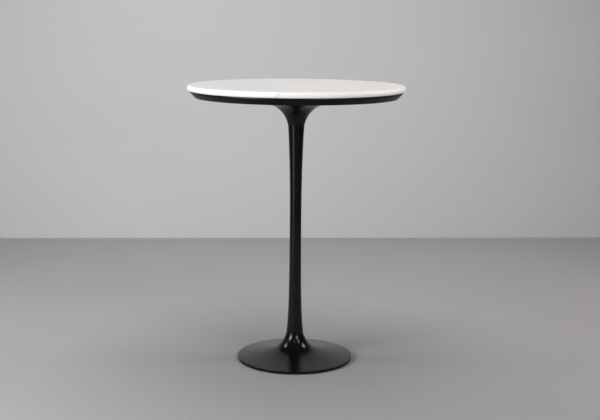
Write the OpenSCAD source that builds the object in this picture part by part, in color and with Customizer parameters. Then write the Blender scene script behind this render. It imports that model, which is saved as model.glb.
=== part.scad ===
// Counter height pedestal table: a round marble top on a waisted column and a trumpet foot.
// Millimetres, +Z up, origin on the floor under the middle of the table.

/* [Table] */
// Height from the floor to the marble's top face
table_h = 914; // [880:1:1000]
// Diameter of the marble top
top_d = 706.5; // [640:0.5:800]
// Thickness of the marble
marble_t = 18.8; // [16:0.1:25]
// Radius that rounds the marble's edge above and below
marble_round = 9.2; // [2:0.1:12]

/* [Board] */
// Thickness of the board under the marble
board_t = 22; // [20:0.5:30]
// How far the marble hangs over the board
board_inset = 9.15; // [4:0.05:20]
// Height of the board's upright lip
lip_h = 4.45; // [3:0.05:8]
// How far the bevel below the lip runs inward
bevel_in = 16; // [8:0.5:24]
// Depth of the adhesive bed
glue_t = 1; // [0.5:0.1:2]
// Width of bare board around the adhesive
glue_rim = 24; // [12:1:40]

/* [Head flange] */
// Height of the head from the column to the board
head_h = 89.2; // [86:0.1:110]
// Diameter of the flange under the board
head_d = 236; // [220:1:260]
// Height of the flange's upright edge
head_edge_h = 15; // [12:0.5:20]
// Diameter of the head where it meets the column
head_neck_d = 54.2; // [50:0.1:60]
// Wall of the cored-out head
head_wall = 7; // [5:0.5:9]
// Width of the solid ring that takes the screws
head_ring_w = 36; // [34:1:44]
// Distance from the column joint up to the seat of the rod's upper nut
head_seat_h = 62; // [56:0.5:66]

/* [Column] */
// Diameter of the column at its waist
waist_d = 38.26; // [34:0.02:44]
// Height of the waist above the floor
waist_z = 506; // [420:1:560]
// Wall of the tube between its ends
tube_wall = 3; // [2:0.1:4]
// Wall of the tube at its bored ends
end_wall = 5.7; // [5:0.1:7]
// Depth of the bored ends
socket_depth = 22; // [16:0.5:30]

/* [Foot] */
// Diameter of the foot
base_d = 382; // [350:1:420]
// Height of the foot's upper rim edge above the floor
rim_z = 10.3; // [9.5:0.1:13]
// Radius that rounds the rim
rim_round = 1.4; // [1:0.1:4.5]
// Gap between the rim and the floor with the glides screwed in
floor_gap = 1.5; // [1.2:0.1:4]
// Height of the foot's neck above the floor
neck_h = 90.5; // [80:0.5:110]
// Diameter of the neck at the column joint
neck_d = 56; // [52:0.1:60]
// Diameter of the knee where the neck's curve meets the skirt
knee_d = 124; // [112:0.2:140]
// Height of the knee above the floor
knee_h = 37; // [34:0.1:42]
// Wall of the casting over its hollow
base_wall = 8; // [6.5:0.5:10]
// Width of the solid ring at the rim
base_ring_w = 63; // [60:0.5:75]
// Number of ribs in the hollow
rib_n = 4; // [4:4:8]
// Thickness of each rib
rib_t = 8; // [6:0.5:12]
// Radius of the hub around the rod
hub_r = 20; // [18:0.5:24]
// Height of the hub's lower face above the floor
hub_z = 44; // [42:0.5:48]

/* [Tie rod] */
// Diameter of the rod
rod_d = 12; // [10:0.5:12]
// Width across the nuts' flats
nut_af = 18; // [17:0.5:20]
// Height of a nut
nut_h = 10.8; // [8:0.1:11]
// Diameter of a flat washer
washer_d = 24; // [22:0.5:30]
// Thickness of a flat washer
washer_t = 2.5; // [1.5:0.1:3]
// Diameter of the lock washer
lock_d = 20.4; // [19:0.1:22]
// Thickness of the lock washer
lock_t = 2.5; // [1.5:0.1:3]
// Length of rod standing out of each nut
rod_proud = 5; // [2:0.5:7]
// Diameter of the locating pins
pin_d = 3; // [2:0.1:3.4]
// Length of the locating pins
pin_len = 12; // [8:0.5:14]

/* [Screws under the board] */
// Number of screws
screw_n = 6; // [4:1:8]
// Distance of the screws from the flange's edge
screw_inset = 20; // [16:0.5:22]
// Diameter of the screws
screw_d = 6; // [5:0.5:6.5]
// Length of the screws under the head
screw_len = 24; // [20:0.5:25]
// Diameter of the screw heads
screw_head_d = 10.5; // [9.5:0.1:12]
// Height of the screw heads
screw_head_h = 3.3; // [2.5:0.1:4]
// Width across the flats of the screws' key sockets
screw_key_af = 4; // [3:0.1:4.5]
// Depth of the screws' key sockets
screw_key_depth = 2; // [1:0.1:2.4]
// Thickness of metal between the washers' seats and the board
screw_seat_t = 10; // [8:0.5:11]
// Diameter of the screws' washers
screw_washer_d = 12; // [12:0.1:13.4]
// Thickness of the screws' washers
screw_washer_t = 1.6; // [1:0.1:2]
// Outer diameter of the threaded inserts
insert_d = 10; // [8.5:0.1:12]
// Length of the threaded inserts
insert_len = 13; // [10:0.5:15]

/* [Glides] */
// Distance of the glides from the foot's rim
glide_inset = 41; // [38:0.5:46]
// Diameter of a glide's nylon foot
pad_d = 26; // [22:0.5:28]
// Height of a glide's nylon foot
pad_h = 4.4; // [4.2:0.1:5]
// Thickness of nylon under the stud's head
pad_floor = 1.4; // [1.2:0.1:1.8]
// Thickness of the nylon lip over the stud's head
pad_lip = 0.7; // [0.5:0.1:0.9]
// Diameter of the stud
stud_d = 8; // [7:0.1:8.5]
// Diameter of the stud's head inside the nylon
stud_head_d = 14; // [12:0.1:15]
// Width across the flats of the stud's key socket
stud_key_af = 4; // [3:0.1:5]
// Depth of the stud's key socket
stud_key_depth = 3; // [2:0.1:4]
// Thickness of the casting left over the stud's bore
stud_skin = 2.6; // [2:0.1:3.2]

/* [Fits] */
// Radial play of a plug in its socket
plug_fit = 0.1; // [0.05:0.01:0.3]
// Radial play of a stud in its threaded bore
stud_fit = 0.05; // [0.02:0.01:0.1]
// Radial play of a pin, insert, nut or screw in its bore
close_fit = 0.05; // [0.02:0.01:0.1]
// Radial play of a screw, rod or foot that passes freely
free_fit = 0.75; // [0.5:0.05:1]
// Gap that a nylon foot keeps to the casting and to the stud's head
pad_gap = 0.3; // [0.2:0.05:0.5]

/* [Hidden] */

MARBLE = [0.87, 0.86, 0.85];
BLACK = [0.07, 0.07, 0.075];
STEEL = [0.66, 0.67, 0.69];
BRASS = [0.72, 0.58, 0.34];
NYLON = [0.16, 0.16, 0.17];
ADHESIVE = [0.80, 0.79, 0.76];

$fn = 64;
CUT = 1;
CURVE_STEPS = 14;
ARC_STEPS = 8;
EDGE_BREAK = 0.6;

// Slopes of the outlines where their curves meet, in degrees from the horizontal
FOOT_JOINT_SLOPE = 83.9;
HEAD_JOINT_SLOPE = 77.2;
KNEE_SLOPE = 28;
RIM_SLOPE = 8;
HEAD_EDGE_SLOPE = 16;

// How far each curve follows its end slopes, as shares of its rise or run
TUBE_FOOT_PULL = 0.153;
LOW_WAIST_PULL = 0.652;
HIGH_WAIST_PULL = 0.546;
TUBE_TOP_PULL = 0.02;
NECK_PULL = 0.296;
KNEE_PULL = 0.363;
SKIRT_PULL = 0.04;
RIM_PULL = 0.86;
HEAD_PULL = 0.946;
HEAD_EDGE_PULL = 0.12;

// Radii of the round pieces
top_r = top_d / 2;
board_r = top_r - board_inset;
glue_r = board_r - glue_rim;
head_r = head_d / 2;
head_neck_r = head_neck_d / 2;
waist_r = waist_d / 2;
neck_r = neck_d / 2;
base_r = base_d / 2;
rod_r = rod_d / 2;
screw_r = screw_d / 2;
insert_r = insert_d / 2;
pad_r = pad_d / 2;
stud_r = stud_d / 2;

// Heights at which the pieces meet
marble_z = table_h - marble_t;
board_z = marble_z - board_t;
head_z = board_z - head_h;
head_edge_z = board_z - head_edge_h;
head_seat_z = head_z + head_seat_h;
screw_seat_z = board_z - screw_seat_t;

// The marble's edge keeps a narrow flat between its two roundings
edge_flat = 0.4;
edge_round = min(marble_round, (marble_t - edge_flat) / 2);

// Space left at the end of a blind hole, a bored end or a stud's bore
insert_relief = 1;
plug_relief = 1;
stud_relief = 0.4;

// Core of the head, around the seat of the rod's nut
head_hub_r = washer_d / 2 + 4;
head_core_r = head_r - head_ring_w;
head_rib_n = 4;
head_rib_t = 6;
head_rib_z = board_z - 6;
screw_circle_r = head_r - screw_inset;

// Bored ends of the tube, with their plugs and pins: the foot's first, the head's second
joint_z = [neck_h, head_z];
socket_r = [neck_r - end_wall, head_neck_r - end_wall];
plug_len = socket_depth - plug_relief;
pin_shift = 0.35;
pin_circle_r = [for (r = socket_r) r + end_wall / 2 - pin_shift];

// Hollow of the foot, with its ribs running out to the glides
hollow_r = base_r - base_ring_w;
hollow_roof_z = hub_z + 12;
rib_end_z = floor_gap + 3;
rib_root = 4;
glide_circle_r = base_r - glide_inset;
GLIDE_ANGLES = [45, 135, 225, 315];

// Cubic curve from a to d, pulled towards b and c
function curve(a, b, c, d) = [for (i = [0:CURVE_STEPS]) let (t = i / CURVE_STEPS, u = 1 - t)
    u * u * u * a + 3 * u * u * t * b + 3 * u * t * t * c + t * t * t * d];
function arc(centre, r, from, to) = [for (i = [0:ARC_STEPS])
    centre + r * heading(from + (to - from) * i / ARC_STEPS)];
function heading(a) = [cos(a), sin(a)];
function joined(first, second) = concat(first, [for (i = [1:len(second) - 1]) second[i]]);
function backwards(list) = [for (i = [len(list) - 1:-1:0]) list[i]];
// Points moved sideways by d, to the right of the way that they run
function beside(list, d) = [for (i = [0:len(list) - 1]) let (
    way = list[min(i + 1, len(list) - 1)] - list[max(i - 1, 0)],
    side = [way.y, -way.x] / norm(way)) list[i] + d * side];

// Outline of the foot from its neck over the knee to the rim, as radius and height
rim_centre = [base_r - rim_round, rim_z - rim_round * cos(RIM_SLOPE)];
neck_point = [neck_r, neck_h];
knee_point = [knee_d / 2, knee_h];
rim_point = rim_centre + rim_round * heading(90 - RIM_SLOPE);
neck_drop = neck_h - knee_h;
skirt_run = rim_point.x - knee_point.x;
foot_outline = joined(
    curve(neck_point, neck_point + NECK_PULL * neck_drop * heading(-FOOT_JOINT_SLOPE),
        knee_point - KNEE_PULL * neck_drop * heading(-KNEE_SLOPE), knee_point),
    curve(knee_point, knee_point + SKIRT_PULL * skirt_run * heading(-KNEE_SLOPE),
        rim_point - RIM_PULL * skirt_run * heading(-RIM_SLOPE), rim_point));
function foot_top_at(r) = lookup(r, foot_outline);

// Outline of the column from the foot past the waist to the head, as radius and height
waist_point = [waist_r, waist_z];
tube_top_point = [head_neck_r, head_z];
lower_rise = waist_z - neck_h;
upper_rise = head_z - waist_z;
tube_outline = joined(
    curve(neck_point, neck_point + TUBE_FOOT_PULL * lower_rise * heading(180 - FOOT_JOINT_SLOPE),
        waist_point - [0, LOW_WAIST_PULL * lower_rise], waist_point),
    curve(waist_point, waist_point + [0, HIGH_WAIST_PULL * upper_rise],
        tube_top_point - TUBE_TOP_PULL * upper_rise * heading(HEAD_JOINT_SLOPE), tube_top_point));

// Outline of the head from the column out to the flange's edge, as radius and height
head_edge_point = [head_r, head_edge_z];
head_rise = head_edge_z - head_z;
head_run = head_r - head_neck_r;
head_outline = curve(tube_top_point, tube_top_point + HEAD_PULL * head_rise * heading(HEAD_JOINT_SLOPE),
    head_edge_point - HEAD_EDGE_PULL * head_run * heading(HEAD_EDGE_SLOPE), head_edge_point);

// Ends of the tie rod, past its washers and nuts
rod_low = hub_z - washer_t - lock_t - nut_h - rod_proud;
rod_high = head_seat_z + washer_t + nut_h + rod_proud;

// Heights inside a glide and its bore
pad_recess_z = pad_h + pad_gap;
stud_bore_z = foot_top_at(glide_circle_r) - stud_skin;
stud_tip_z = stud_bore_z - stud_relief;
stud_head_play = 0.1;
stud_head_h = pad_h - pad_floor - pad_lip - stud_head_play;
pad_key_r = stud_key_af / 2 + 2;

module revolve(outline) {
    rotate_extrude($fn = 128) polygon(outline);
}

module ring(r_out, r_in, z, h) {
    translate([0, 0, z]) difference() {
        cylinder(r = r_out, h = h);
        translate([0, 0, -CUT]) cylinder(r = r_in, h = h + 2 * CUT);
    }
}

module hexagon(af, z, h) {
    translate([0, 0, z]) cylinder(d = af / cos(30), h = h, $fn = 6);
}

module around(count, r) {
    for (i = [0:count - 1]) rotate(i * 360 / count) translate([r, 0, 0]) children();
}

// Blind hole or pin of a bored end, half in the tube and half in its neighbour
module pin_shape(end, play) {
    translate([pin_circle_r[end], 0, joint_z[end] - pin_len / 2])
        cylinder(r = pin_d / 2 + play, h = pin_len, $fn = 32);
}

module marble_top() {
    low = [top_r - edge_round, marble_z + edge_round];
    high = [top_r - edge_round, table_h - edge_round];
    color(MARBLE) revolve(concat([[0, marble_z]], arc(low, edge_round, -90, 0),
        arc(high, edge_round, 0, 90), [[0, table_h]]));
}

module adhesive_bed() {
    color(ADHESIVE) translate([0, 0, marble_z - glue_t]) cylinder(r = glue_r - free_fit, h = glue_t);
}

module backer_board() {
    lip_z = marble_z - lip_h;
    color(BLACK) difference() {
        revolve([[0, board_z], [board_r - bevel_in, board_z], [board_r - EDGE_BREAK, lip_z],
            [board_r, lip_z + EDGE_BREAK], [board_r, marble_z], [0, marble_z]]);
        translate([0, 0, marble_z - glue_t]) cylinder(r = glue_r, h = glue_t + CUT);
        around(screw_n, screw_circle_r) translate([0, 0, board_z - CUT])
            cylinder(r = insert_r + close_fit, h = insert_len + insert_relief + CUT);
    }
}

module threaded_inserts() {
    color(BRASS) around(screw_n, screw_circle_r)
        ring(insert_r, screw_r + close_fit, board_z, insert_len);
}

// Space cored out of the head from above, with ribs left standing in it
module head_core() {
    offset_line = beside(head_outline, -head_wall);
    floor_line = [for (p = offset_line) if (p.x > head_hub_r + 8 && p.x < head_core_r) p];
    difference() {
        revolve(concat([[0, head_seat_z], [head_hub_r, head_seat_z], [head_hub_r + 2, floor_line[0].y]],
            floor_line, [[head_core_r, lookup(head_core_r, offset_line)],
            [head_core_r, board_z + CUT], [0, board_z + CUT]]));
        for (i = [0:head_rib_n - 1]) rotate(GLIDE_ANGLES[0] + i * 360 / head_rib_n)
            translate([head_hub_r - CUT, -head_rib_t / 2, head_z])
                cube([head_core_r, head_rib_t, head_rib_z - head_z]);
    }
}

module head_flange() {
    color(BLACK) difference() {
        union() {
            revolve(concat([[0, head_z]], head_outline,
                [[head_r, board_z - EDGE_BREAK], [head_r - EDGE_BREAK, board_z], [0, board_z]]));
            translate([0, 0, head_z - plug_len]) cylinder(r = socket_r[1] - plug_fit, h = plug_len + CUT);
        }
        head_core();
        translate([0, 0, head_z - socket_depth])
            cylinder(r = rod_r + free_fit, h = head_h + socket_depth);
        pin_shape(1, close_fit);
        around(screw_n, screw_circle_r) translate([0, 0, head_z]) {
            cylinder(r = screw_r + free_fit / 2, h = head_h + CUT);
            cylinder(r = screw_washer_d / 2 + free_fit, h = screw_seat_z - head_z);
        }
    }
}

module flange_washers() {
    color(STEEL) around(screw_n, screw_circle_r)
        ring(screw_washer_d / 2, screw_r + close_fit, screw_seat_z - screw_washer_t, screw_washer_t);
}

module flange_screws() {
    under_head = screw_seat_z - screw_washer_t;
    color(STEEL) around(screw_n, screw_circle_r) difference() {
        union() {
            translate([0, 0, under_head]) cylinder(r = screw_r, h = screw_len);
            translate([0, 0, under_head - screw_head_h]) cylinder(d = screw_head_d, h = screw_head_h);
        }
        hexagon(screw_key_af, under_head - screw_head_h - CUT, screw_key_depth + CUT);
    }
}

module column() {
    low_land = neck_h + socket_depth;
    high_land = head_z - socket_depth;
    inner = [for (p = tube_outline) if (p.y > low_land && p.y < high_land) p - [tube_wall, 0]];
    color(BLACK) difference() {
        revolve(concat(tube_outline, [[socket_r[1], head_z], [socket_r[1], high_land]],
            backwards(inner), [[socket_r[0], low_land], [socket_r[0], neck_h]]));
        for (end = [0, 1]) pin_shape(end, close_fit);
    }
}

// Hollow under the foot, open below, with a hub and radial ribs left standing in it
module base_hollow() {
    offset_line = beside(foot_outline, base_wall);
    roof = [for (p = offset_line) if (p.x < hollow_r && p.y < hollow_roof_z) p];
    difference() {
        revolve(concat([[0, 0], [0, hub_z], [hub_r, hub_z], [hub_r, hollow_roof_z],
            [roof[0].x, hollow_roof_z]], roof,
            [[hollow_r, lookup(hollow_r, offset_line)], [hollow_r, 0]]));
        for (i = [0:rib_n - 1]) rotate([90, 0, GLIDE_ANGLES[0] + i * 360 / rib_n])
            linear_extrude(rib_t, center = true) polygon([[hub_r - rib_root, hub_z], [hub_r, hub_z],
                [hollow_r + CUT, rib_end_z], [hollow_r + CUT, neck_h], [hub_r - rib_root, neck_h]]);
    }
}

module base_casting() {
    rim = arc(rim_centre, rim_round, 90 - RIM_SLOPE, 0);
    sole = [[base_r, floor_gap + EDGE_BREAK], [base_r - EDGE_BREAK, floor_gap], [0, floor_gap]];
    color(BLACK) difference() {
        union() {
            revolve(concat([[0, neck_h]], joined(foot_outline, rim), sole));
            translate([0, 0, neck_h - CUT]) cylinder(r = socket_r[0] - plug_fit, h = plug_len + CUT);
        }
        base_hollow();
        translate([0, 0, hub_z - CUT])
            cylinder(r = rod_r + free_fit, h = neck_h + socket_depth - hub_z + CUT);
        pin_shape(0, close_fit);
        for (a = GLIDE_ANGLES) rotate(a) translate([glide_circle_r, 0, 0]) {
            cylinder(r = pad_r + free_fit, h = pad_recess_z);
            cylinder(r = stud_r + stud_fit, h = stud_bore_z);
        }
    }
}

module tie_rod() {
    color(STEEL) translate([0, 0, rod_low]) cylinder(r = rod_r, h = rod_high - rod_low);
}

module nut(z) {
    color(STEEL) difference() {
        hexagon(nut_af, z, nut_h);
        translate([0, 0, z - CUT]) cylinder(r = rod_r + close_fit, h = nut_h + 2 * CUT);
    }
}

module rod_washer_top() {
    color(STEEL) ring(washer_d / 2, rod_r + close_fit, head_seat_z, washer_t);
}

module rod_nut_top() {
    nut(head_seat_z + washer_t);
}

module rod_washer_base() {
    color(STEEL) ring(washer_d / 2, rod_r + close_fit, hub_z - washer_t, washer_t);
}

module rod_lock_washer() {
    color(STEEL) ring(lock_d / 2, rod_r + close_fit, hub_z - washer_t - lock_t, lock_t);
}

module rod_nut_base() {
    nut(hub_z - washer_t - lock_t - nut_h);
}

module locating_pin(end) {
    color(STEEL) pin_shape(end, 0);
}

module at_glide(i) {
    rotate(GLIDE_ANGLES[i]) translate([glide_circle_r, 0, 0]) children();
}

// Nylon foot with a pocket that holds the stud's head, and a hole below for the key
module glide_foot(i) {
    color(NYLON) at_glide(i) difference() {
        revolve([[0, 0], [pad_r - EDGE_BREAK, 0], [pad_r, EDGE_BREAK], [pad_r, pad_h], [0, pad_h]]);
        translate([0, 0, -CUT]) cylinder(r = pad_key_r, h = pad_h);
        translate([0, 0, pad_floor]) {
            cylinder(r = stud_head_d / 2 + pad_gap, h = pad_h - pad_floor - pad_lip);
            cylinder(r = stud_r + pad_gap, h = pad_h);
        }
    }
}

module glide_stud(i) {
    color(STEEL) at_glide(i) difference() {
        union() {
            translate([0, 0, pad_floor]) cylinder(d = stud_head_d, h = stud_head_h);
            translate([0, 0, pad_floor]) cylinder(r = stud_r, h = stud_tip_z - pad_floor);
        }
        hexagon(stud_key_af, pad_floor - CUT, stud_key_depth + CUT);
    }
}

marble_top();
adhesive_bed();
backer_board();
threaded_inserts();
head_flange();
flange_screws();
flange_washers();
column();
base_casting();
tie_rod();
rod_washer_top();
rod_nut_top();
rod_washer_base();
rod_lock_washer();
rod_nut_base();
locating_pin(1);  // upper_locating_pin
locating_pin(0);  // lower_locating_pin
glide_foot(0);  // glide_foot_1
glide_foot(1);  // glide_foot_2
glide_foot(2);  // glide_foot_3
glide_foot(3);  // glide_foot_4
glide_stud(0);  // glide_stud_1
glide_stud(1);  // glide_stud_2
glide_stud(2);  // glide_stud_3
glide_stud(3);  // glide_stud_4
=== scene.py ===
"""Round counter height table: the shapes and finishes of its pieces, on the frame of the built part.

The classes of the table's pieces hold their sizes in millimetres, as radius and height from the floor's
centre. The finished meshes, the finishes, the room, the lamps and the camera are in metres.
"""

import logging
import math
from dataclasses import dataclass, field
from enum import Enum
from typing import Any

import bmesh
import bpy
from mathutils import Matrix, Vector
from mathutils.geometry import interpolate_bezier


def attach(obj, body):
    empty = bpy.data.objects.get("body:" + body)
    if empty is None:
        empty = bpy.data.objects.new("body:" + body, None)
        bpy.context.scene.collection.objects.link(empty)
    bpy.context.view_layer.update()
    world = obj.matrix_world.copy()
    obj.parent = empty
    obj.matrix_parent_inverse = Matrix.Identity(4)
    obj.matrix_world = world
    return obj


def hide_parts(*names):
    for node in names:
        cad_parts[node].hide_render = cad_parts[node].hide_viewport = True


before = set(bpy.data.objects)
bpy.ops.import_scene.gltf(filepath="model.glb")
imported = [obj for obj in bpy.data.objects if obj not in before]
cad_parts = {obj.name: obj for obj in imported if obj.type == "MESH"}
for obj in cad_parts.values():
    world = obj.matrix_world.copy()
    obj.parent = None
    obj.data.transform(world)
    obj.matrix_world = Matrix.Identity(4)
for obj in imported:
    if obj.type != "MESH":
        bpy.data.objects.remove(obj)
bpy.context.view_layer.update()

MM = 0.001
ROUND_STEPS = 192
RIM_STEPS = 256
SMALL_STEPS = 64
MERGE = 0.0005
REACH = 2.0
PAST = 1.0
HALF_CORNER = math.radians(30.0)
SHARP = math.radians(34.0)
BOLTS = 6
BOLT_CIRCLE = 98.0
SMOOTH = {"interpolation_type": "SMOOTHSTEP"}
OPEN_EDGE = 0.0005
COOL_LIGHT = (0.98, 0.99, 1.0)
WARM_LIGHT = (1.0, 0.90, 0.85)
THREAD_STEPS = 28
THREAD_EXTRA = 3
THREAD_DEPTH = 0.6134
THREAD_SPARE = 0.2
THREAD_SHARES = (0.0, 0.125, 0.44, 0.56, 0.875, 1.0)

Point = tuple[float, float]
Colour = tuple[float, float, float]

log = logging.getLogger("table")


class Way(Enum):
    """How one form acts on another."""

    ADD = "UNION"
    CUT = "DIFFERENCE"
    KEEP = "INTERSECT"


class Body(Enum):
    """The moving bodies of the frame; the glides' names end in their number."""

    TABLE = "table"
    FOOT = "foot_{}"
    STUD = "stud_{}"


# Outlines and forms


class Outline:
    """A run of points, as radius and height, that a form is turned or cut from."""

    def __init__(self, *points: Point) -> None:
        """Starts the run with its first points."""
        self.points: list[Point] = list(points)

    @classmethod
    def upright(cls, near: float, far: float, low: float, high: float) -> "Outline":
        """Gives the corners of an upright section, from the near lower one round to the near upper one."""
        return cls((near, low), (far, low), (far, high), (near, high))

    def line(self, *ends: Point) -> "Outline":
        """Runs straight to each of the ends in turn."""
        self.points.extend(ends)
        return self

    def curve(self, first: Point, second: Point, end: Point, steps: int) -> "Outline":
        """Adds a cubic curve.

        Args:
            first: The point that the curve leaves towards.
            second: The point that it arrives from.
            end: Where it ends.
            steps: How many straight steps stand for it.

        Returns:
            The outline itself.
        """
        run = interpolate_bezier(self.points[-1], first, second, end, steps + 1)
        self.points.extend((point.x, point.y) for point in run[1:])
        return self

    def arc(self, centre: Point, radius: float, begin: float, end: float, steps: int) -> "Outline":
        """Adds an arc, beginning at its first point.

        Args:
            centre: The arc's centre.
            radius: Its radius.
            begin: Its first angle from the horizontal, in degrees.
            end: Its last angle, in degrees.
            steps: How many straight steps stand for it.

        Returns:
            The outline itself.
        """
        for index in range(steps + 1):
            angle = math.radians(begin + (end - begin) * index / steps)
            self.points.append((centre[0] + radius * math.cos(angle), centre[1] + radius * math.sin(angle)))
        return self

    def beside(self, distance: float) -> "Outline":
        """Moves the run sideways.

        Args:
            distance: How far, to the right of the way that the run goes.

        Returns:
            A new outline.
        """
        moved = []
        last = len(self.points) - 1
        for index, (radius, height) in enumerate(self.points):
            before = self.points[max(index - 1, 0)]
            after = self.points[min(index + 1, last)]
            way = Vector((after[0] - before[0], after[1] - before[1])).normalized()
            moved.append((radius + distance * way.y, height - distance * way.x))
        return Outline(*moved)

    def within(self, low: float, high: float) -> list[Point]:
        """Lists the points whose radius lies between a low and a high value."""
        return [point for point in self.points if low < point[0] < high]

    def height_at(self, radius: float) -> float:
        """Finds the height of the run at a radius.

        Args:
            radius: The radius to look at.

        Returns:
            The height there, on the straight step that spans it.
        """
        for (near, low), (far, high) in zip(self.points, self.points[1:]):
            if min(near, far) <= radius <= max(near, far) and near != far:
                return low + (high - low) * (radius - near) / (far - near)
        raise ValueError(f"the outline doesn't pass radius {radius}")


class Form:
    """A closed shape in the making, in millimetres."""

    def __init__(self) -> None:
        """Starts with nothing."""
        self.mesh = bmesh.new()

    @classmethod
    def turned(cls, outline: Outline, steps: int = ROUND_STEPS, closed: bool = False) -> "Form":
        """Turns an outline once about the vertical axis.

        Args:
            outline: The section; its ends lie on the axis unless it is closed.
            steps: How many steps make the turn.
            closed: Whether its last point joins its first.

        Returns:
            The turned form.
        """
        form = cls()
        corners = form.corners(outline)
        edges = [form.mesh.edges.new(pair) for pair in zip(corners, corners[1:])]
        if closed:
            edges.append(form.mesh.edges.new((corners[-1], corners[0])))
        return form.spun(corners + edges, math.tau, steps, merged=True).tidied()

    @classmethod
    def arched(cls, outline: Outline, angle: float, steps: int) -> "Form":
        """Turns a closed outline by part of a turn, and closes both ends.

        Args:
            outline: The section, whose last point joins its first.
            angle: How far it is turned, in degrees.
            steps: How many steps make the turn.

        Returns:
            The form.
        """
        form = cls()
        face = form.mesh.faces.new(form.corners(outline))
        form.spun([face], math.radians(angle), steps).capped()
        return form.tidied()

    @classmethod
    def rod(cls, radius: float, low: float, high: float, sides: int = SMALL_STEPS) -> "Form":
        """Makes a straight rod, bar or drill.

        Args:
            radius: The radius of its corners.
            low: The height of its lower end.
            high: The height of its upper end.
            sides: How many sides it has.

        Returns:
            The form.
        """
        form = cls()
        bmesh.ops.create_cone(
            form.mesh, cap_ends=True, segments=sides, radius1=radius, radius2=radius, depth=high - low,
        )
        return form.moved(up=(low + high) / 2)

    @classmethod
    def plate(cls, outline: Outline, thick: float) -> "Form":
        """Makes an upright plate from a section.

        Args:
            outline: The plate's outline, whose last point joins its first.
            thick: Its thickness, half on each side of the section.

        Returns:
            The form.
        """
        form = cls()
        face = form.mesh.faces.new(form.corners(outline, -thick / 2))
        grown = bmesh.ops.extrude_face_region(form.mesh, geom=[face], use_keep_orig=True)
        moved = [item for item in grown["geom"] if isinstance(item, bmesh.types.BMVert)]
        bmesh.ops.translate(form.mesh, vec=(0.0, thick, 0.0), verts=moved)
        return form.tidied()

    @classmethod
    def thread(cls, crest: float, pitch: float, low: float, high: float, chamfer: float) -> "Form":
        """Makes a threaded bar with chamfered ends.

        Args:
            crest: The radius of the thread's crest.
            pitch: Its rise in one turn.
            low: The height of its lower end.
            high: The height of its upper end.
            chamfer: How far each end is chamfered.

        Returns:
            The form.
        """
        root = crest - THREAD_DEPTH * pitch
        turns = math.ceil((high - low) / pitch) + THREAD_EXTRA
        start = low - THREAD_EXTRA / 2 * pitch
        heights = [start + share * pitch for share in THREAD_SHARES]
        form = cls()
        corners = form.corners(Outline(*zip((root, root, crest, crest, root, root), heights)))
        edges = [form.mesh.edges.new(pair) for pair in zip(corners, corners[1:])]
        form.spun(corners + edges, math.tau * turns, THREAD_STEPS * turns, pitch / THREAD_STEPS)
        bmesh.ops.remove_doubles(form.mesh, verts=form.mesh.verts, dist=MERGE)
        bmesh.ops.triangulate(form.mesh, faces=form.capped())
        form.tidied()
        wide = crest + THREAD_SPARE
        blank = Outline((0.0, low), (wide - chamfer, low), (wide, low + chamfer))
        blank.line((wide, high - chamfer), (wide - chamfer, high), (0.0, high))
        return form.with_forms(Way.KEEP, cls.turned(blank, SMALL_STEPS))

    def corners(self, outline: Outline, y: float = 0.0) -> list[bmesh.types.BMVert]:
        """Adds a corner for each point of an outline, on an upright plane."""
        return [self.mesh.verts.new((radius, y, height)) for radius, height in outline.points]

    def spun(
        self, parts: list[Any], turn: float, steps: int, rise: float = 0.0, merged: bool = False,
    ) -> "Form":
        """Spins parts of the form about the vertical axis.

        Args:
            parts: The corners, edges or faces that are spun.
            turn: The whole turn, in radians.
            steps: How many steps make it.
            rise: How far each step rises.
            merged: Whether the last step meets the first.

        Returns:
            The form itself.
        """
        bmesh.ops.spin(
            self.mesh, geom=parts, cent=(0, 0, 0), axis=(0, 0, 1), dvec=(0, 0, rise),
            angle=turn, steps=steps, use_merge=merged, use_duplicate=False,
        )
        return self

    def capped(self) -> list[bmesh.types.BMFace]:
        """Closes every open end, and gives the new faces."""
        rims = [edge for edge in self.mesh.edges if edge.is_boundary]
        return bmesh.ops.holes_fill(self.mesh, edges=rims, sides=0)["faces"]

    def tidied(self) -> "Form":
        """Merges doubled points and turns every face outwards."""
        bmesh.ops.remove_doubles(self.mesh, verts=self.mesh.verts, dist=MERGE)
        bmesh.ops.recalc_face_normals(self.mesh, faces=self.mesh.faces)
        return self

    def moved(self, out: float = 0.0, up: float = 0.0, angle: float = 0.0) -> "Form":
        """Shifts the form and then turns it about the vertical axis.

        Args:
            out: The shift along X.
            up: The shift along Z.
            angle: The turn, in degrees.

        Returns:
            The form itself.
        """
        place = Matrix.Rotation(math.radians(angle), 4, "Z") @ Matrix.Translation((out, 0.0, up))
        bmesh.ops.transform(self.mesh, matrix=place, verts=self.mesh.verts)
        return self

    def copied(self) -> "Form":
        """Copies the form."""
        twin = Form()
        twin.mesh = self.mesh.copy()
        return twin

    def around(self, count: int, radius: float, first: float = 0.0) -> "Form":
        """Repeats the form in a circle.

        Args:
            count: How many copies there are.
            radius: The circle's radius.
            first: The angle of the first copy, in degrees.

        Returns:
            A new form that holds all the copies.
        """
        whole = Form()
        for index in range(count):
            whole.taking(self.copied().moved(radius, angle=first + index * 360.0 / count))
        return whole

    def taking(self, other: "Form") -> "Form":
        """Takes in another form that lies clear of this one.

        Args:
            other: The form to take in, which is used up.

        Returns:
            The form itself.
        """
        passed = bpy.data.meshes.new("passed")
        other.mesh.to_mesh(passed)
        other.mesh.free()
        self.mesh.from_mesh(passed)
        bpy.data.meshes.remove(passed)
        return self

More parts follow.
